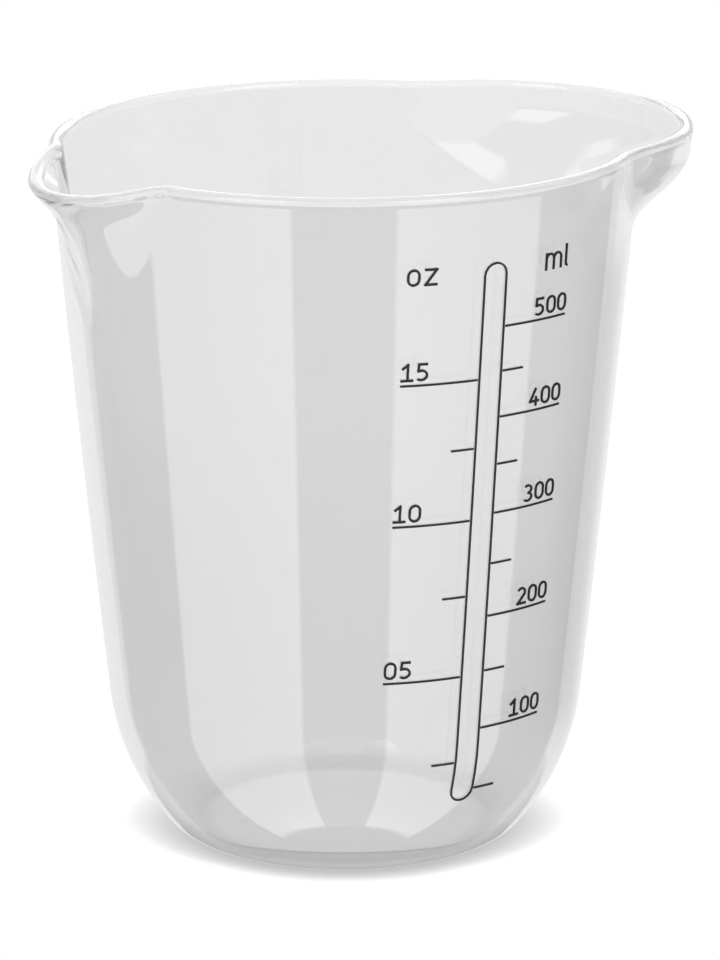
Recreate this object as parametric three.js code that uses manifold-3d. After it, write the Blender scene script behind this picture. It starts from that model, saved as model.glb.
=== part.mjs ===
// Clear one-piece measuring cup with a pouring spout, a thumb grip and a printed volume scale.
// Millimetres, +Z up. The origin is the centre of the base. The spout points along -X, the grip along +X,
// and the scale faces -Y.
import * as THREE from 'three';
import { mergeVertices } from 'three/addons/utils/BufferGeometryUtils.js';
import Module from 'manifold-3d';

// Cup
const cupHeight = 122.3;
const rimRadius = 50.3;         // outside of the rim, away from spout and grip
const wallThickness = 2.5;
const floorThickness = 1.6;
const rimSlope = 0.0866;        // outward lean of the wall at the rim
const wallBow = 0.00011;        // growth of that lean below the rim
const cornerTop = 25.3;         // height where the wall runs into the round bottom corner
const cornerRadius = 42;
const baseRound = 7.5;          // tighter round between the corner and the flat base
const lipDepth = 32;            // the spout and the grip end within this depth below the rim

// Spout: a cone with its point down, flared at the lip, whose rim dips
const spoutCentre = 34.75;      // distance of the cone's axis from the cup's axis
const spoutRadius = 22.8;       // outside of the lip
const spoutLean = 0.48;         // loss of radius per millimetre of depth
const spoutFlare = 1.3;         // extra radius at the lip
const spoutFlareDepth = 6;
const spoutDip = 3.4;           // drop of the rim at the spout's tip
const spoutDipEase = 1.14;      // how softly that drop sets in
const spoutRimBlend = 1.8;      // width of the hollow between spout and wall, at the rim
const spoutToeBlend = 5;        // and at the spout's lower end

// Grip: a hollow lip with an upright edge and a swept underside
const gripCentre = 27.65;
const gripRadius = 36.25;
const gripDraft = 0.144;        // lean of the upright edge
const gripEdge = 5;             // depth of the upright edge
const gripFall = 30.5;          // depth where the sweep ends
const gripSweep = 22.5;         // how far the sweep draws in
const gripRimBlend = 2.6;
const gripToeBlend = 10.5;

// Printed scale
const scaleAzimuth = -Math.PI / 2;
const inkThickness = 0.2;
const inkGap = 0.12;            // clearance between the ink and the wall
const lineWidth = 0.34;
const columnHalfWidth = 2.05;
const columnBottom = 14.75;
const columnTop = 110.1;
const millilitreReach = 15.6;   // from the column's middle to the end of a long line
const ounceReach = 15.9;
const minorReach = 6.5;
const millilitreStep = 50;
const millilitreMax = 500;
const ounceStep = 2.5;
const ounceMax = 15;
const millilitresPerOunce = 29.5735;

// Numerals and unit letters, sized between stroke centres
const digitSize = new THREE.Vector2(1.75, 2.72);
const digitPitch = 2.6;
const digitRise = 0.92;         // foot of a numeral above its line
const digitOverhang = 0.15;     // how far a numeral passes the end of its line on the right
const letterSize = new THREE.Vector2(1.85, 2.55);
const wideLetter = 3.45;        // width of the letter m
const letterPitch = 2.95;
const letterGap = 1.25;
const letterMargin = 0.5;       // between the last letter's stem and the end of the lines
const letterBaseline = 107.5;
const tallLetter = 1.38;        // height of the letter l, in letter heights
const strokeWidth = 0.42;
const halfStroke = strokeWidth / 2;

// Mesh fineness
const cupSegments = 96;
const roundSteps = 3;
const cornerSteps = 5;
const plainDepths = [72, 48];   // rows of the plain wall, between the corner and the lip
const lipSteps = 11;
const rimSteps = 6;
const curveSegments = 4;
const linePiece = 2;            // longest straight piece of a scale line
const columnPieces = 30;
const weldDistance = 1e-4;

const { lerp, smoothstep, clamp, degToRad } = THREE.MathUtils;
const wasm = await Module();
wasm.setup();

// Plain wall outside, before the spout and grip are drawn out of it
function wallRadius(height) {
  const below = cupHeight - height;
  return rimRadius - rimSlope * below - wallBow * below * below;
}

// The bottom corner is tangent to the wall, and the base round is tangent to the corner and the base
const cornerSlope = rimSlope + 2 * wallBow * (cupHeight - cornerTop);
const cornerStretch = Math.hypot(1, cornerSlope);
const cornerCentre = new THREE.Vector2(
  wallRadius(cornerTop) - cornerRadius / cornerStretch,
  cornerTop + (cornerRadius * cornerSlope) / cornerStretch,
);

function roundCentre(radius, round, floor) {
  const rise = floor + round;
  const reach = Math.sqrt((radius - round) ** 2 - (cornerCentre.y - rise) ** 2);
  return new THREE.Vector2(cornerCentre.x + reach, rise);
}

function profileRadius(height) {
  if (height >= cornerTop) {
    return wallRadius(height);
  }
  return cornerCentre.x + Math.sqrt(cornerRadius ** 2 - (height - cornerCentre.y) ** 2);
}

// Polar outline of a circle whose centre lies off the cup's axis
function offsetCircle(azimuth, centre, radius) {
  const across = centre * Math.sin(azimuth);
  if (radius <= Math.abs(across)) {
    return 0;
  }
  return centre * Math.cos(azimuth) + Math.sqrt(radius ** 2 - across ** 2);
}

// The larger of two radii, with the crease between them filled over the given width
function blendedMax(first, second, width) {
  const nearness = Math.max(width - Math.abs(first - second), 0) / width;
  return Math.max(first, second) + (nearness * nearness * width) / 4;
}

const rimStart = wallThickness / 2;

function withSpout(radius, azimuth, depth) {
  const flare = spoutFlare * smoothstep(depth, rimStart, spoutFlareDepth);
  const cone = spoutRadius - spoutLean * (depth - rimStart) - flare;
  const blend = lerp(spoutRimBlend, spoutToeBlend, smoothstep(depth, 0, lipDepth / 2));
  return blendedMax(radius, offsetCircle(azimuth - Math.PI, spoutCentre, cone), blend);
}

function withGrip(radius, azimuth, depth) {
  const share = smoothstep(depth, gripEdge, gripFall);
  const edge = gripRadius - gripDraft * depth - gripSweep * share;
  const blend = lerp(gripRimBlend, gripToeBlend, share);
  return blendedMax(radius, offsetCircle(azimuth, gripCentre, edge), blend);
}

// Drop of the rim over the spout, fading out down the wall
function spoutDrop(azimuth, depth) {
  const reach = withSpout(rimRadius, azimuth, rimStart) - rimRadius;
  const share = reach / (spoutCentre + spoutRadius - rimRadius);
  return spoutDip * share ** spoutDipEase * clamp(1 - depth / lipDepth, 0, 1);
}

// Outside of the cup above its bottom corner, by azimuth and depth below the rim
function outerPoint(azimuth, depth) {
  const height = cupHeight - depth - spoutDrop(azimuth, depth);
  let radius = profileRadius(height);
  if (depth < lipDepth) {
    radius = withGrip(withSpout(radius, azimuth, depth), azimuth, depth);
  }
  return new THREE.Vector3(radius * Math.cos(azimuth), radius * Math.sin(azimuth), height);
}

function outwardNormal(azimuth, depth) {
  const small = 0.02;
  const turn = small / rimRadius;
  const around = outerPoint(azimuth + turn, depth).sub(outerPoint(azimuth - turn, depth));
  const up = outerPoint(azimuth, depth - small).sub(outerPoint(azimuth, depth + small));
  return around.cross(up).normalize();
}

// A point of the wall, pushed out along the wall's own normal (in if negative)
function wallPoint(azimuth, depth, push) {
  return outerPoint(azimuth, depth).addScaledVector(outwardNormal(azimuth, depth), push);
}

// Rows of the cup's surface run from the middle of the base up the outside, over the rim and down the inside.
// Each row is a function from azimuth to a point.
function levelRow(radius, height) {
  return (azimuth) => new THREE.Vector3(radius * Math.cos(azimuth), radius * Math.sin(azimuth), height);
}

function arcRows(centre, radius, fromAngle, toAngle, steps) {
  const rows = [];
  for (let step = 0; step <= steps; step += 1) {
    const angle = lerp(fromAngle, toAngle, step / steps);
    rows.push(levelRow(centre.x + radius * Math.cos(angle), centre.y + radius * Math.sin(angle)));
  }
  return rows;
}

function bottomRows(radius, round, floor) {
  const centre = roundCentre(radius, round, floor);
  const seam = Math.atan2(centre.y - cornerCentre.y, centre.x - cornerCentre.x);
  const base = arcRows(centre, round, -Math.PI / 2, seam, roundSteps);
  const corner = arcRows(cornerCentre, radius, seam, -Math.atan(cornerSlope), cornerSteps);
  return [levelRow(0, floor), ...base, ...corner.slice(1)];
}

function wallRows(push) {
  const depths = [...plainDepths];
  for (let step = lipSteps; step >= 1; step -= 1) {
    depths.push(lerp(rimStart, lipDepth, step / lipSteps));
  }
  return depths.map((depth) => (azimuth) => wallPoint(azimuth, depth, push));
}

// The rim is a full round that stands upright, also where the wall under it leans
function rimRows() {
  const rows = [];
  for (let step = 0; step <= rimSteps; step += 1) {
    const angle = (Math.PI * step) / rimSteps;
    rows.push((azimuth) => {
      const outward = outwardNormal(azimuth, rimStart).setZ(0).normalize();
      const point = outerPoint(azimuth, rimStart).addScaledVector(outward, rimStart * (Math.cos(angle) - 1));
      return point.setZ(point.z + rimStart * Math.sin(angle));
    });
  }
  return rows;
}

function cupGeometry() {
  const outside = [...bottomRows(cornerRadius, baseRound, 0), ...wallRows(0)];
  const inside = [
    ...bottomRows(cornerRadius - wallThickness, baseRound - wallThickness, floorThickness),
    ...wallRows(-wallThickness),
  ];
  const rows = [...outside, ...rimRows(), ...inside.reverse()];
  const profile = rows.map((row) => {
    const point = row(scaleAzimuth);
    return new THREE.Vector2(Math.hypot(point.x, point.y), point.z);
  });
  const geometry = new THREE.LatheGeometry(profile, cupSegments);
  const position = geometry.attributes.position;
  for (let index = 0; index < position.count; index += 1) {
    const turn = Math.floor(index / rows.length) % cupSegments;
    const point = rows[index % rows.length]((2 * Math.PI * turn) / cupSegments);
    position.setXYZ(index, point.x, point.y, point.z);
  }
  geometry.computeVertexNormals();
  return geometry;
}

// Inside radius of the plain cup, and the height to which a volume fills it, by stacking thin discs
function innerRadius(height) {
  if (height >= cornerTop) {
    return wallRadius(height) - wallThickness * Math.hypot(1, rimSlope);
  }
  const radius = cornerRadius - wallThickness;
  const round = baseRound - wallThickness;
  const centre = roundCentre(radius, round, floorThickness);
  const seam = cornerCentre.y + (radius * (centre.y - cornerCentre.y)) / (radius - round);
  if (height < seam) {
    return centre.x + Math.sqrt(round ** 2 - (centre.y - height) ** 2);
  }
  return cornerCentre.x + Math.sqrt(radius ** 2 - (height - cornerCentre.y) ** 2);
}

function heightForVolume(millilitres) {
  const slice = 0.02;
  let cubicMillimetres = 1000 * millilitres;
  let height = floorThickness;
  while (cubicMillimetres > 0) {
    cubicMillimetres -= Math.PI * innerRadius(height + slice / 2) ** 2 * slice;
    height += slice;
  }
  return height;
}

// Flat ink drawings have x around the wall from the scale's middle, y up the cup and z out of the wall
function bendOntoWall(geometry) {
  const position = geometry.attributes.position;
  for (let index = 0; index < position.count; index += 1) {
    const height = position.getY(index);
    const azimuth = scaleAzimuth + position.getX(index) / profileRadius(height);
    const point = wallPoint(azimuth, cupHeight - height, inkGap + position.getZ(index));
    position.setXYZ(index, point.x, point.y, point.z);
  }
  geometry.computeVertexNormals();
  return geometry;
}

function lineGeometry(from, to, height) {
  const length = Math.abs(to - from);
  const line = new THREE.BoxGeometry(length, lineWidth, inkThickness, Math.ceil(length / linePiece), 1, 1);
  line.translate((from + to) / 2, height, inkThickness / 2);
  return bendOntoWall(line);
}

// Outline of the column: a closed ribbon of rectangular section along a path with round ends
function columnPath() {
  const top = columnTop - columnHalfWidth;
  const bottom = columnBottom + columnHalfWidth;
  const path = new THREE.Path();
  path.moveTo(columnHalfWidth, bottom);
  for (let piece = 1; piece <= columnPieces; piece += 1) {
    path.lineTo(columnHalfWidth, lerp(bottom, top, piece / columnPieces));
  }
  path.absarc(0, top, columnHalfWidth, 0, Math.PI);
  for (let piece = 1; piece <= columnPieces; piece += 1) {
    path.lineTo(-columnHalfWidth, lerp(top, bottom, piece / columnPieces));
  }
  path.absarc(0, bottom, columnHalfWidth, Math.PI, 2 * Math.PI);
  return path.getPoints(curveSegments).slice(0, -1);
}

function columnGeometry() {
  const points = columnPath();
  const corners = [[1, 0], [1, 1], [-1, 1], [-1, 0]];
  const ribbon = new THREE.TorusGeometry(1, lineWidth, corners.length, points.length);
  const position = ribbon.attributes.position;
  for (let index = 0; index < position.count; index += 1) {
    const [side, level] = corners[Math.floor(index / (points.length + 1)) % corners.length];
    const place = index % (points.length + 1);
    const here = points[place % points.length];
    const next = points[(place + 1) % points.length];
    const last = points[(place + points.length - 1) % points.length];
    const along = next.clone().sub(last).setLength((side * lineWidth) / 2);
    position.setXYZ(index, here.x + along.y, here.y - along.x, level * inkThickness);
  }
  return bendOntoWall(ribbon);
}

// Strokes of the numerals and letters as flat shapes, with places given as shares of the glyph's size
function bar(size, fromX, fromY, toX, toY) {
  const from = new THREE.Vector2(fromX, fromY).multiply(size);
  const to = new THREE.Vector2(toX, toY).multiply(size);
  const along = to.clone().sub(from).setLength(halfStroke);
  const shape = new THREE.Shape();
  shape.moveTo(from.x - along.x - along.y, from.y - along.y + along.x);
  shape.lineTo(from.x - along.x + along.y, from.y - along.y - along.x);
  shape.lineTo(to.x + along.x + along.y, to.y + along.y - along.x);
  shape.lineTo(to.x + along.x - along.y, to.y + along.y + along.x);
  return shape;
}

function bow(size, x, y, radiusX, radiusY, fromDegrees, toDegrees) {
  const centre = new THREE.Vector2(x, y).multiply(size);
  const radius = new THREE.Vector2(radiusX, radiusY).multiply(size);
  const from = degToRad(fromDegrees);
  const to = degToRad(toDegrees);
  const shape = new THREE.Shape();
  shape.absellipse(centre.x, centre.y, radius.x + halfStroke, radius.y + halfStroke, from, to, false);
  shape.absellipse(centre.x, centre.y, radius.x - halfStroke, radius.y - halfStroke, to, from, true);
  return shape;
}

function stadium(target, size, grow) {
  const radius = size.x / 2;
  target.absarc(radius, size.y - radius, radius + grow, 0, Math.PI, false);
  target.absarc(radius, radius, radius + grow, Math.PI, 2 * Math.PI, false);
  return target;
}

function ring(size) {
  const shape = stadium(new THREE.Shape(), size, halfStroke);
  shape.holes.push(stadium(new THREE.Path(), size, -halfStroke));
  return shape;
}

const wideSize = new THREE.Vector2(wideLetter, letterSize.y);

const glyphStrokes = {
  0: () => [ring(digitSize)],
  1: () => [
    bar(digitSize, 0.08, 0.76, 0.55, 1),
    bar(digitSize, 0.55, 1, 0.55, 0),
    bar(digitSize, 0, 0, 1, 0),
  ],
  2: () => [
    bow(digitSize, 0.48, 0.72, 0.46, 0.28, -38, 155),
    bar(digitSize, 0.84, 0.55, 0.04, 0),
    bar(digitSize, 0.04, 0, 1, 0),
  ],
  3: () => [
    bow(digitSize, 0.42, 0.75, 0.46, 0.25, -90, 140),
    bow(digitSize, 0.42, 0.25, 0.52, 0.25, -140, 90),
  ],
  4: () => [
    bar(digitSize, 0.62, 1, 0, 0.24),
    bar(digitSize, 0, 0.24, 1, 0.24),
    bar(digitSize, 0.72, 0.46, 0.72, 0),
  ],
  5: () => [
    bar(digitSize, 0.12, 1, 0.86, 1),
    bar(digitSize, 0.12, 1, 0.08, 0.58),
    bar(digitSize, 0.08, 0.58, 0.38, 0.6),
    bow(digitSize, 0.38, 0.3, 0.56, 0.3, -130, 90),
  ],
  o: () => [ring(letterSize)],
  z: () => [
    bar(letterSize, 0, 1, 1, 1),
    bar(letterSize, 1, 1, 0, 0),
    bar(letterSize, 0, 0, 1, 0),
  ],
  m: () => [
    bar(wideSize, 0, 1, 0, 0),
    bow(wideSize, 0.25, 0.66, 0.25, 0.34, 0, 180),
    bar(wideSize, 0.5, 0.66, 0.5, 0),
    bow(wideSize, 0.75, 0.66, 0.25, 0.34, 0, 180),
    bar(wideSize, 1, 0.66, 1, 0),
  ],
  l: () => [
    bar(letterSize, 0, tallLetter, 0, 0.14),
    bow(letterSize, 0.18, 0.14, 0.18, 0.14, 180, 290),
  ],
};

function toSolid(geometry) {
  geometry.deleteAttribute('normal');
  geometry.deleteAttribute('uv');
  const welded = mergeVertices(geometry, weldDistance);
  return new wasm.Manifold(new wasm.Mesh({
    numProp: 3,
    vertProperties: new Float32Array(welded.attributes.position.array),
    triVerts: new Uint32Array(welded.index.array),
  }));
}

function glyphGeometry(character, x, y) {
  const extrusion = { depth: inkThickness, bevelEnabled: false, curveSegments };
  const strokes = glyphStrokes[character]();
  const solids = strokes.map((shape) => toSolid(new THREE.ExtrudeGeometry(shape, extrusion)));
  const joined = solids.reduce((whole, stroke) => whole.add(stroke)).getMesh();
  const geometry = new THREE.BufferGeometry();
  geometry.setAttribute('position', new THREE.BufferAttribute(joined.vertProperties, 3));
  geometry.setIndex(new THREE.BufferAttribute(joined.triVerts, 1));
  geometry.translate(x, y, 0);
  return bendOntoWall(geometry);
}

// Assembly
const cup = new THREE.Group();

function addPiece(name, geometry, material) {
  const mesh = new THREE.Mesh(geometry, material);
  mesh.name = name;
  cup.add(mesh);
}

function addInk(name, geometry) {
  const ink = new THREE.MeshStandardMaterial({ color: 0x333536, roughness: 0.55, metalness: 0 });
  addPiece(name, geometry, ink);
}

// Every second line is long and carries its numeral. Side 1 is right of the column and -1 left of it.
function addMarks(unit, side, longReach, step, max, millilitresPerUnit, digits) {
  const lineStart = columnHalfWidth + lineWidth;
  const numberWidth = (digits - 1) * digitPitch + digitSize.x;
  const numberEnd = longReach + digitOverhang - halfStroke;
  const numberStart = side > 0 ? numberEnd - numberWidth : halfStroke - longReach;
  for (let mark = 1; mark <= max / step; mark += 1) {
    const value = mark * step;
    const height = heightForVolume(value * millilitresPerUnit);
    const isLong = mark % 2 === 0;
    const reach = isLong ? longReach : minorReach;
    const lineName = `${unit}_line_${String(value).replace('.', '_')}`;
    addInk(lineName, lineGeometry(side * lineStart, side * reach, height));
    const numeral = isLong ? String(value).padStart(digits, '0') : '';
    [...numeral].forEach((digit, place) => {
      const geometry = glyphGeometry(digit, numberStart + place * digitPitch, height + digitRise);
      addInk(`${unit}_${numeral}_digit_${place + 1}`, geometry);
    });
  }
}

addPiece('cup_body', cupGeometry(), new THREE.MeshStandardMaterial({
  color: 0xe4e8e8, roughness: 0.08, metalness: 0, transparent: true, opacity: 0.35,
}));
addInk('scale_column', columnGeometry());
addMarks('ml', 1, millilitreReach, millilitreStep, millilitreMax, 1, 3);
addMarks('oz', -1, ounceReach, ounceStep, ounceMax, millilitresPerOunce, 2);

const ounceStart = 2 * halfStroke - ounceReach;
addInk('unit_letter_o', glyphGeometry('o', ounceStart, letterBaseline));
addInk('unit_letter_z', glyphGeometry('z', ounceStart + letterPitch, letterBaseline));

const lastStem = millilitreReach - letterMargin;
addInk('unit_letter_m', glyphGeometry('m', lastStem - letterGap - wideLetter, letterBaseline));
addInk('unit_letter_l', glyphGeometry('l', lastStem, letterBaseline));

export default cup;
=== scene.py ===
"""Clear plastic measuring cup with a printed scale, in a white studio.

The cup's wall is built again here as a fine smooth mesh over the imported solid, from the same dimensions.
Lengths are in millimetres until something is made, and MM turns them into metres.
"""
import math

import bpy
import numpy as np
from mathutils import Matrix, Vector


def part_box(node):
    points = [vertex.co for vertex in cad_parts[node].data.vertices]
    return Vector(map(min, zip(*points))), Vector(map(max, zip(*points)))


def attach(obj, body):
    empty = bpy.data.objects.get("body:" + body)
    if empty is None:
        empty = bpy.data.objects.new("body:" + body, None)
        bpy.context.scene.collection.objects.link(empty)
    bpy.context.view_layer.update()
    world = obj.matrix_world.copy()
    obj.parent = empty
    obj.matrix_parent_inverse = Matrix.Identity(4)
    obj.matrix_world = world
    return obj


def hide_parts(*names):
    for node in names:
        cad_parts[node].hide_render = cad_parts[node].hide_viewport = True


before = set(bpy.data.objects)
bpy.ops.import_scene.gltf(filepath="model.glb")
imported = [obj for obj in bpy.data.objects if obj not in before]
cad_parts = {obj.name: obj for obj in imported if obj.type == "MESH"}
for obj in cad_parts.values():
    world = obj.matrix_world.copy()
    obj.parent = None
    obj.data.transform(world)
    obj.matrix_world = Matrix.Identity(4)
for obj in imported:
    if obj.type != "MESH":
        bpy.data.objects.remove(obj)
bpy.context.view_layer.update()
scene = bpy.context.scene
MM = 0.001

# Cup dimensions, with the height read from the frame
cup_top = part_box("cup_body")[1]
CUP_HEIGHT = cup_top.z / MM
RIM_RADIUS = 50.3
WALL = 2.5
FLOOR = 1.6
RIM_SLOPE = 0.0866
WALL_BOW = 0.00011
CORNER_TOP = 25.3
CORNER_RADIUS = 42.0
BASE_ROUND = 7.5
LIP_DEPTH = 32.0        # spout and grip lie within this depth below the rim
RIM_START = WALL / 2    # depth at which the round rim begins

SPOUT_CENTRE = 34.75
SPOUT_RADIUS = 22.8
SPOUT_LEAN = 0.48
SPOUT_FLARE = 1.3
SPOUT_FLARE_DEPTH = 6.0
SPOUT_DIP = 3.4
SPOUT_DIP_EASE = 1.14
SPOUT_RIM_BLEND = 1.8
SPOUT_TOE_BLEND = 5.0

GRIP_CENTRE = 27.65
GRIP_RADIUS = 36.25
GRIP_DRAFT = 0.144
GRIP_EDGE = 5.0
GRIP_FALL = 30.5
GRIP_SWEEP = 22.5
GRIP_RIM_BLEND = 2.6
GRIP_TOE_BLEND = 10.5

# Mesh fineness
COLUMNS = 540
ROUND_STEPS = 8
CORNER_STEPS = 18
WALL_STEPS = 12
LIP_STEPS = 36
RIM_STEPS = 24
FLAT_RINGS = (0.25, 0.5, 0.75)      # shares of the flat's radius
NORMAL_STEP = 0.02                  # between the points that give a wall's direction

# Camera, from the photograph's perspective
VIEW_TURN = math.radians(30.3)      # from the scale's side of the cup towards the spout
CAMERA_DISTANCE = 991.9
CAMERA_HEIGHT = 331.45
CAMERA_SIDE = 2.6
CAMERA_PITCH = math.radians(15.214)
CAMERA_LENS = 223.57
CAMERA_SENSOR = 36
CAMERA_REACH = 10000

# Enough bounces for light that runs along inside the clear wall
LIGHT_BOUNCES = 1024


def smoothstep(value, low, high):
    share = np.clip((value - low) / (high - low), 0, 1)
    return share * share * (3 - 2 * share)


def mix(first, second, share):
    return first + (second - first) * share


# Cup wall
def wall_radius(height):
    below = CUP_HEIGHT - height
    return RIM_RADIUS - RIM_SLOPE * below - WALL_BOW * below * below


CORNER_SLOPE = RIM_SLOPE + 2 * WALL_BOW * (CUP_HEIGHT - CORNER_TOP)
CORNER_STRETCH = math.hypot(1, CORNER_SLOPE)
CORNER_CENTRE = (
    wall_radius(CORNER_TOP) - CORNER_RADIUS / CORNER_STRETCH,
    CORNER_TOP + CORNER_RADIUS * CORNER_SLOPE / CORNER_STRETCH,
)


def offset_circle(azimuth, centre, radius):
    """Polar outline of a circle whose centre lies off the cup's axis."""
    across = centre * np.sin(azimuth)
    inside = np.maximum(radius ** 2 - across ** 2, 0)
    return np.where(inside > 0, centre * np.cos(azimuth) + np.sqrt(inside), 0)


def blended_max(first, second, width):
    """The larger of two radii, with the crease between them filled."""
    nearness = np.maximum(width - np.abs(first - second), 0) / width
    return np.maximum(first, second) + nearness * nearness * width / 4


def with_spout(radius, azimuth, depth):
    flare = SPOUT_FLARE * smoothstep(depth, RIM_START, SPOUT_FLARE_DEPTH)
    cone = SPOUT_RADIUS - SPOUT_LEAN * (depth - RIM_START) - flare
    blend = mix(SPOUT_RIM_BLEND, SPOUT_TOE_BLEND, smoothstep(depth, 0, LIP_DEPTH / 2))
    return blended_max(radius, offset_circle(azimuth - math.pi, SPOUT_CENTRE, cone), blend)


def with_grip(radius, azimuth, depth):
    share = smoothstep(depth, GRIP_EDGE, GRIP_FALL)
    edge = GRIP_RADIUS - GRIP_DRAFT * depth - GRIP_SWEEP * share
    blend = mix(GRIP_RIM_BLEND, GRIP_TOE_BLEND, share)
    return blended_max(radius, offset_circle(azimuth, GRIP_CENTRE, edge), blend)


def spout_drop(azimuth, depth):
    """Drop of the rim over the spout, fading out down the wall."""
    reach = with_spout(RIM_RADIUS, azimuth, RIM_START) - RIM_RADIUS
    share = reach / (SPOUT_CENTRE + SPOUT_RADIUS - RIM_RADIUS)
    return SPOUT_DIP * share ** SPOUT_DIP_EASE * max(1 - depth / LIP_DEPTH, 0)


def outer_points(azimuth, depth):
    height = CUP_HEIGHT - depth - spout_drop(azimuth, depth)
    radius = wall_radius(height)
    if depth < LIP_DEPTH:
        radius = with_grip(with_spout(radius, azimuth, depth), azimuth, depth)
    return np.stack([radius * np.cos(azimuth), radius * np.sin(azimuth), height], axis=1)


def outward_normals(azimuth, depth):
    turn = NORMAL_STEP / RIM_RADIUS
    around = outer_points(azimuth + turn, depth) - outer_points(azimuth - turn, depth)
    up = outer_points(azimuth, depth - NORMAL_STEP) - outer_points(azimuth, depth + NORMAL_STEP)
    normal = np.cross(around, up)
    return normal / np.linalg.norm(normal, axis=1, keepdims=True)


# Rows of points around the cup, from the middle of the base up the outside and down the inside
def level_row(azimuth, radius, height):
    heights = np.full_like(azimuth, height)
    return np.stack([radius * np.cos(azimuth), radius * np.sin(azimuth), heights], axis=1)


def arc_rows(azimuth, centre, radius, from_angle, to_angle, steps):
    rows = []
    for step in range(steps + 1):
        angle = mix(from_angle, to_angle, step / steps)
        across = centre[0] + radius * math.cos(angle)
        height = centre[1] + radius * math.sin(angle)
        rows.append(level_row(azimuth, across, height))
    return rows


def round_centre(radius, base_round, floor):
    rise = floor + base_round
    reach = math.sqrt((radius - base_round) ** 2 - (CORNER_CENTRE[1] - rise) ** 2)
    return CORNER_CENTRE[0] + reach, rise


BASE_FLAT = round_centre(CORNER_RADIUS, BASE_ROUND, 0)[0]


def bottom_rows(azimuth, radius, base_round, floor):
    centre = round_centre(radius, base_round, floor)
    seam = math.atan2(centre[1] - CORNER_CENTRE[1], centre[0] - CORNER_CENTRE[0])
    flat = [level_row(azimuth, centre[0] * share, floor) for share in FLAT_RINGS]
    base = arc_rows(azimuth, centre, base_round, -math.pi / 2, seam, ROUND_STEPS)
    corner = arc_rows(azimuth, CORNER_CENTRE, radius, seam, -math.atan(CORNER_SLOPE), CORNER_STEPS)
    return flat + base + corner[1:]


def wall_rows(azimuth, push):
    lower = np.linspace(CUP_HEIGHT - CORNER_TOP, LIP_DEPTH, WALL_STEPS + 1)[1:]
    upper = np.linspace(LIP_DEPTH, RIM_START, LIP_STEPS + 1)[1:-1]
    depths = np.concatenate([lower, upper])
    return [outer_points(azimuth, depth) + push * outward_normals(azimuth, depth) for depth in depths]


def rim_rows(azimuth):
    outward = outward_normals(azimuth, RIM_START)
    outward[:, 2] = 0
    outward /= np.linalg.norm(outward, axis=1, keepdims=True)
    start = outer_points(azimuth, RIM_START)
    rows = []
    for step in range(RIM_STEPS + 1):
        angle = math.pi * step / RIM_STEPS
        row = start + outward * RIM_START * (math.cos(angle) - 1)
        row[:, 2] += RIM_START * math.sin(angle)
        rows.append(row)
    return rows


def cup_faces(row_count, rim_row):
    """Fans in the middle of base and floor, faces between rows, and a 1 for each face on the rim."""
    base_centre = row_count * COLUMNS
    floor_centre = base_centre + 1
    last_row = (row_count - 1) * COLUMNS
    faces = []
    on_rim = []
    for column in range(COLUMNS):
        beside = (column + 1) % COLUMNS
        faces.append((base_centre, beside, column))
        faces.append((floor_centre, last_row + column, last_row + beside))
        on_rim += [0, 0]
        for row in range(row_count - 1):
            low = row * COLUMNS
            high = low + COLUMNS
            faces.append((low + column, low + beside, high + beside, high + column))
            on_rim.append(int(rim_row <= row < rim_row + RIM_STEPS))
    return faces, on_rim


def cup_mesh():
    azimuth = np.linspace(0, 2 * math.pi, COLUMNS, endpoint=False)
    outside = bottom_rows(azimuth, CORNER_RADIUS, BASE_ROUND, 0) + wall_rows(azimuth, 0)
    inside = bottom_rows(azimuth, CORNER_RADIUS - WALL, BASE_ROUND - WALL, FLOOR)
    inside += wall_rows(azimuth, -WALL)
    rows = outside + rim_rows(azimuth) + inside[::-1]
    centres = np.array([[0, 0, 0], [0, 0, FLOOR]])
    points = np.concatenate(rows + [centres]) * MM
    faces, on_rim = cup_faces(len(rows), len(outside))
    mesh = bpy.data.meshes.new("cup_wall")
    mesh.from_pydata(points.tolist(), [], faces)
    mesh.shade_smooth()
    mesh.polygons.foreach_set("material_index", on_rim)
    return mesh


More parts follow.
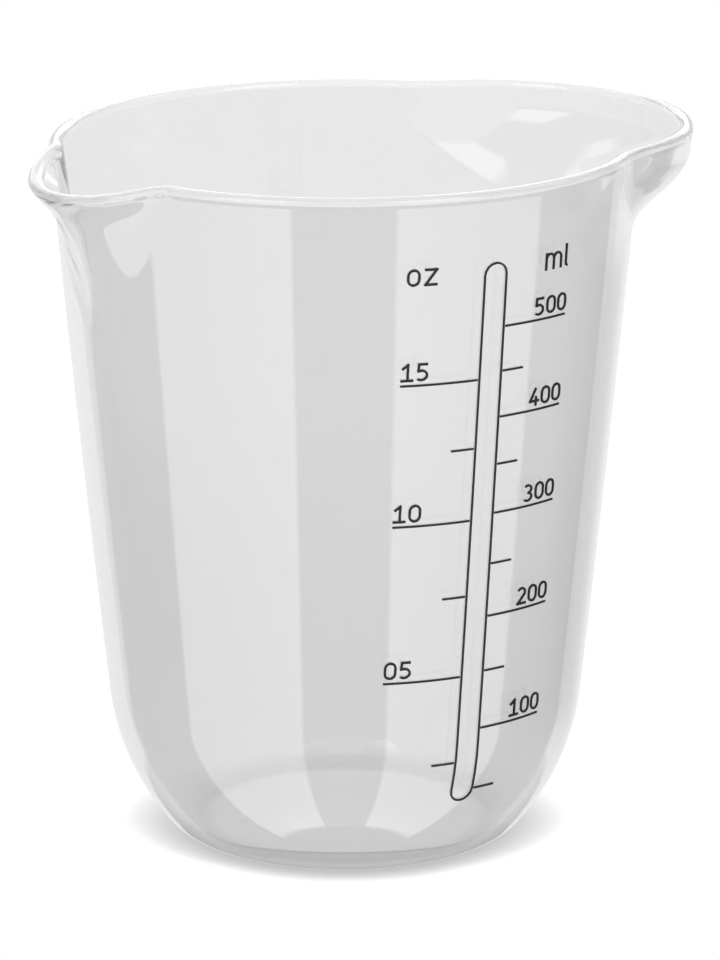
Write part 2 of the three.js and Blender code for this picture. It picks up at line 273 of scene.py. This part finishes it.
class Graph:
    """Short names for the few kinds of node that the materials and the studio are made of."""

    def __init__(self, tree):
        self.nodes = tree.nodes
        self.links = tree.links

    def feed(self, socket, value):
        if isinstance(value, bpy.types.NodeSocket):
            self.links.new(value, socket)
        else:
            socket.default_value = value

    def math(self, operation, first, second=0.0):
        node = self.nodes.new("ShaderNodeMath")
        node.operation = operation
        self.feed(node.inputs[0], first)
        self.feed(node.inputs[1], second)
        return node.outputs["Value"]

    def product(self, first, *others):
        for other in others:
            first = self.math("MULTIPLY", first, other)
        return first

    def vector(self, operation, first, second=(0, 0, 0)):
        node = self.nodes.new("ShaderNodeVectorMath")
        node.operation = operation
        self.feed(node.inputs[0], first)
        self.feed(node.inputs[1], second)
        return node.outputs["Value"]

    def ramp(self, value, low, high, to_low, to_high, shape="LINEAR"):
        node = self.nodes.new("ShaderNodeMapRange")
        node.interpolation_type = shape
        self.feed(node.inputs["Value"], value)
        self.feed(node.inputs["From Min"], low)
        self.feed(node.inputs["From Max"], high)
        self.feed(node.inputs["To Min"], to_low)
        self.feed(node.inputs["To Max"], to_high)
        return node.outputs["Result"]

    def between(self, value, low, high, softness):
        rise = self.ramp(value, low - softness, low + softness, 0, 1, "SMOOTHSTEP")
        fall = self.ramp(value, high - softness, high + softness, 1, 0, "SMOOTHSTEP")
        return self.product(rise, fall)

    def mix(self, share, first, second):
        node = self.nodes.new("ShaderNodeMix")
        self.feed(node.inputs["Factor"], share)
        self.feed(node.inputs["A"], first)
        self.feed(node.inputs["B"], second)
        return node.outputs["Result"]

    def noise(self, scale, detail):
        place = self.nodes.new("ShaderNodeTexCoord")
        node = self.nodes.new("ShaderNodeTexNoise")
        node.inputs["Scale"].default_value = scale
        node.inputs["Detail"].default_value = detail
        self.links.new(place.outputs["Object"], node.inputs["Vector"])
        return node.outputs["Fac"]

    def bump(self, height, strength, distance):
        node = self.nodes.new("ShaderNodeBump")
        node.inputs["Strength"].default_value = strength
        node.inputs["Distance"].default_value = distance
        self.links.new(height, node.inputs["Height"])
        return node.outputs["Normal"]


def new_material(name):
    material = bpy.data.materials.new(name)
    material.use_nodes = True
    return material, Graph(material.node_tree)


# Clear plastic of the wall, and of the rim, whose white, not clear share is a painted highlight that makes
# the rim bright and slightly milky
WALL_TINT = 0.814
WALL_CLEARNESS = 1.0
RIM_TINT_AND_HIGHLIGHT = 1.0
RIM_CLEARNESS = 0.68
PLASTIC_IOR = 1.5
PLASTIC_ROUGHNESS = (0.015, 0.05)
PLASTIC_CLOUDS = (90, 4)    # noise scale and detail of the roughness
PLASTIC_WAVES = (25, 1)     # and of the moulding's faint waves
WAVE_STRENGTH = 0.02
WAVE_HEIGHT = 0.5


def clear_plastic(name, tint, clearness):
    material, graph = new_material(name)
    shader = graph.nodes["Principled BSDF"].inputs
    shader["Base Color"].default_value = (tint, tint, tint, 1)
    shader["Transmission Weight"].default_value = clearness
    shader["IOR"].default_value = PLASTIC_IOR
    roughness = graph.ramp(graph.noise(*PLASTIC_CLOUDS), 0, 1, *PLASTIC_ROUGHNESS)
    graph.feed(shader["Roughness"], roughness)
    waves = graph.bump(graph.noise(*PLASTIC_WAVES), WAVE_STRENGTH, WAVE_HEIGHT * MM)
    graph.feed(shader["Normal"], waves)
    return material


# Dark grey ink of the printed scale
INK_COLOUR = (0.012, 0.0122, 0.0122, 1)
INK_SHINE = 0.2
INK_ROUGHNESS = (0.4, 0.6)
INK_GRAIN = (2500, 3)       # noise scale and detail
GRAIN_STRENGTH = 0.1
GRAIN_HEIGHT = 0.05


def scale_ink():
    material, graph = new_material("scale_ink")
    shader = graph.nodes["Principled BSDF"].inputs
    shader["Base Color"].default_value = INK_COLOUR
    shader["Specular IOR Level"].default_value = INK_SHINE
    grain = graph.noise(*INK_GRAIN)
    graph.feed(shader["Roughness"], graph.ramp(grain, 0, 1, *INK_ROUGHNESS))
    graph.feed(shader["Normal"], graph.bump(grain, GRAIN_STRENGTH, GRAIN_HEIGHT * MM))
    return material


# White table, with painted shade near the cup and where it is seen through the cup
photo_right = Vector((math.cos(VIEW_TURN), -math.sin(VIEW_TURN), 0))
photo_away = Vector((math.sin(VIEW_TURN), math.cos(VIEW_TURN), 0))

TABLE_RADIUS = 1500
TABLE_SIDES = 96
TABLE_DROP = 0.02           # below the base, so that the two never share a plane
SHADOW_REACH = (3.2, 7.5)   # contact shadow in front of the cup and beside it
SHADOW_SAMPLES = 4
SHADOW_LEVEL = 0.5
SHADOW_THROUGH_CUP = 0.85
BASE_LIGHT_FADE = 3.0
FOOT_SHADOW_CENTRE = 25.7          # painted shadow, a dark crescent under the front of the base, outside this circle
FOOT_SHADOW_RADIUS = 45.0
FOOT_SHADOW_FADE = 0.25
FOOT_SHADOW_END = (29, 33)         # where it ends, from the cup's axis
FOOT_SHADOW_LEVEL = 0.72
FOOT_SHADOW_LINE = 0.8             # width of the darker painted shadow line along its edge
FOOT_SHADOW_LINE_LEVEL = 0.5
NEAR_LEVEL = 0.935          # near the cup, seen through it
NEAR_END = 350
DIM_CENTRE = 110            # the table falls off to the right of lines from this far in front
DIM_SLOPE = (0.17, 0.45)
DIM_START = 60
DIM_END = (500, 600)
DIM_LEVEL = 0.74


def contact_shadow(graph, away, from_axis, through_cup):
    """Painted contact shadow close to the cup, and painted light under the clear base, where the table is
    left white.
    """
    openness = graph.nodes.new("ShaderNodeAmbientOcclusion")
    openness.samples = SHADOW_SAMPLES
    reach = graph.ramp(away, -BASE_FLAT * MM, 0, SHADOW_REACH[0] * MM, SHADOW_REACH[1] * MM)
    graph.feed(openness.inputs["Distance"], reach)
    darkest = graph.mix(through_cup, SHADOW_LEVEL, SHADOW_THROUGH_CUP)
    shadow = graph.mix(openness.outputs["AO"], darkest, 1.0)
    # Painted light: the table is left white under the clear base.
    painted_light_under_base = graph.ramp(from_axis, (BASE_FLAT - BASE_LIGHT_FADE) * MM, BASE_FLAT * MM, 1, 0, "SMOOTHSTEP")
    return graph.mix(painted_light_under_base, shadow, 1.0)


def with_painted_foot_shadow(graph, lit, place, from_axis, through_cup):
    """The same light with a painted shadow, a dark crescent, under the front of the base."""
    from_centre = graph.vector("DISTANCE", place, photo_away * FOOT_SHADOW_CENTRE * MM)
    edge_start = (FOOT_SHADOW_RADIUS - FOOT_SHADOW_FADE) * MM
    edge_end = (FOOT_SHADOW_RADIUS + FOOT_SHADOW_FADE) * MM
    line_end = edge_end + FOOT_SHADOW_LINE * MM
    outside = graph.ramp(from_centre, edge_start, edge_end, 0, 1, "SMOOTHSTEP")
    near_base = graph.ramp(from_axis, FOOT_SHADOW_END[0] * MM, FOOT_SHADOW_END[1] * MM, 1, 0, "SMOOTHSTEP")
    level = graph.ramp(from_centre, edge_end, line_end, FOOT_SHADOW_LINE_LEVEL, FOOT_SHADOW_LEVEL, "SMOOTHSTEP")
    return graph.mix(graph.product(outside, near_base, through_cup), lit, level)


def near_shade(graph, from_axis, through_cup):
    """Share of light left near the cup, where the table is seen through it."""
    near_table = graph.ramp(from_axis, BASE_FLAT * MM, NEAR_END * MM, NEAR_LEVEL, 1, "SMOOTHSTEP")
    return graph.mix(through_cup, 1.0, near_table)


def side_shade(graph, place, away, through_cup):
    """Share of light left behind the cup to the right, where the table is seen through it."""
    aside = graph.vector("DOT_PRODUCT", place, photo_right)
    slope = graph.math("DIVIDE", aside, graph.math("ADD", away, DIM_CENTRE * MM))
    fall = graph.ramp(slope, *DIM_SLOPE, 0, 1)
    beyond = graph.math("ADD", aside, away)
    near = graph.ramp(beyond, DIM_END[0] * MM, DIM_END[1] * MM, 1, 0, "SMOOTHSTEP")
    behind = graph.ramp(away, 0, DIM_START * MM, 0, 1, "SMOOTHSTEP")
    return graph.mix(graph.product(fall, near, behind, through_cup), 1.0, DIM_LEVEL)


def white_table():
    material, graph = new_material("white_table")
    nodes = graph.nodes
    nodes.remove(nodes["Principled BSDF"])
    through_cup = nodes.new("ShaderNodeLightPath").outputs["Is Transmission Ray"]
    place = nodes.new("ShaderNodeTexCoord").outputs["Object"]
    away = graph.vector("DOT_PRODUCT", place, photo_away)
    from_axis = graph.vector("LENGTH", place)
    lit = contact_shadow(graph, away, from_axis, through_cup)
    lit = with_painted_foot_shadow(graph, lit, place, from_axis, through_cup)
    near = near_shade(graph, from_axis, through_cup)
    side = side_shade(graph, place, away, through_cup)
    glow = nodes.new("ShaderNodeEmission")
    graph.feed(glow.inputs["Strength"], graph.product(lit, near, side))
    graph.links.new(glow.outputs["Emission"], nodes["Material Output"].inputs["Surface"])
    return material


def make_table(material):
    place = (0, 0, -TABLE_DROP * MM)
    bpy.ops.mesh.primitive_circle_add(
        vertices=TABLE_SIDES, radius=TABLE_RADIUS * MM, fill_type="NGON", location=place)
    table = bpy.context.object
    table.name = "table"
    table.data.materials.append(material)
    table.visible_glossy = False


# White room, in which mirrored rays find softboxes and dim walls. A later light covers an earlier one.
ROOM_LIGHT = 0.3
STUDIO_LIGHTS = {
    # turns to either side of the camera, lifts and softness in degrees, light at the near and far edge
    "gap at the camera": ((-10, 20.8), (-71, 77), 1.5, 1.1, 1.1),
    "low softboxes": ((20.8, 84), (-71, 0), 1.5, 3.8, 2.5),
    "skirting": ((-10, 84), (-19, -8), 1.5, 0.65, 0.65),
    "horizon": ((-10, 110), (-8, 8), 1.5, 1.0, 1.0),
    "high softboxes": ((22, 56), (16, 59), 5, 3.0, 3.0),
    "top light": ((117, 150), (41, 53), 4, 2.0, 2.0),
    "backdrop": ((132, 190), (-30, 100), 1.5, 0.9, 0.9),
    "back light": ((150, 190), (10, 40), 1.5, 2.5, 2.5),
}


def mirrored_room(graph, direction):
    aside = graph.vector("DOT_PRODUCT", direction, photo_right)
    towards = graph.vector("DOT_PRODUCT", direction, -photo_away)
    turn = graph.math("ABSOLUTE", graph.math("ARCTAN2", aside, towards))
    lift = graph.math("ARCSINE", graph.vector("DOT_PRODUCT", direction, (0, 0, 1)))
    room = ROOM_LIGHT
    for turns, lifts, softness, near_light, far_light in STUDIO_LIGHTS.values():
        near, far, low, high, soft = (math.radians(angle) for angle in (*turns, *lifts, softness))
        across = graph.between(turn, near, far, soft)
        upright = graph.between(lift, low, high, soft)
        light = graph.ramp(turn, near, far, near_light, far_light)
        room = graph.mix(graph.product(across, upright), room, light)
    return room


def make_world():
    world = bpy.data.worlds.new("studio")
    world.use_nodes = True
    graph = Graph(world.node_tree)
    nodes = graph.nodes
    room = mirrored_room(graph, nodes.new("ShaderNodeTexCoord").outputs["Generated"])
    path = nodes.new("ShaderNodeLightPath").outputs
    mirrored = graph.math("GREATER_THAN", path["Is Glossy Ray"], path["Is Transmission Ray"])
    background = nodes["Background"].inputs
    background["Color"].default_value = (1, 1, 1, 1)
    graph.feed(background["Strength"], graph.mix(mirrored, 1.0, room))
    scene.world = world


def make_camera():
    camera = bpy.data.cameras.new("camera")
    camera.lens = CAMERA_LENS
    camera.sensor_width = CAMERA_SENSOR
    camera.clip_end = CAMERA_REACH * MM
    holder = bpy.data.objects.new("camera", camera)
    scene.collection.objects.link(holder)
    place = photo_right * CAMERA_SIDE - photo_away * CAMERA_DISTANCE
    holder.location = (place.x * MM, place.y * MM, CAMERA_HEIGHT * MM)
    holder.rotation_euler = (math.pi / 2 - CAMERA_PITCH, 0, -VIEW_TURN)
    scene.camera = holder


make_camera()
scene.cycles.max_bounces = LIGHT_BOUNCES
scene.cycles.glossy_bounces = LIGHT_BOUNCES
scene.cycles.transmission_bounces = LIGHT_BOUNCES

# Pieces
cup = bpy.data.objects.new("cup", cup_mesh())
scene.collection.objects.link(cup)
cup.data.materials.append(clear_plastic("clear_plastic", WALL_TINT, WALL_CLEARNESS))
# The rim's white share is a painted highlight along the rim.
cup.data.materials.append(clear_plastic("clear_rim_painted_highlight", RIM_TINT_AND_HIGHLIGHT, RIM_CLEARNESS))
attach(cup, "root")
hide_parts("cup_body")

ink = scale_ink()
for name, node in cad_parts.items():
    if name != "cup_body":
        node.data.materials.clear()
        node.data.materials.append(ink)

make_table(white_table())
make_world()
scene.view_settings.view_transform = "Standard"
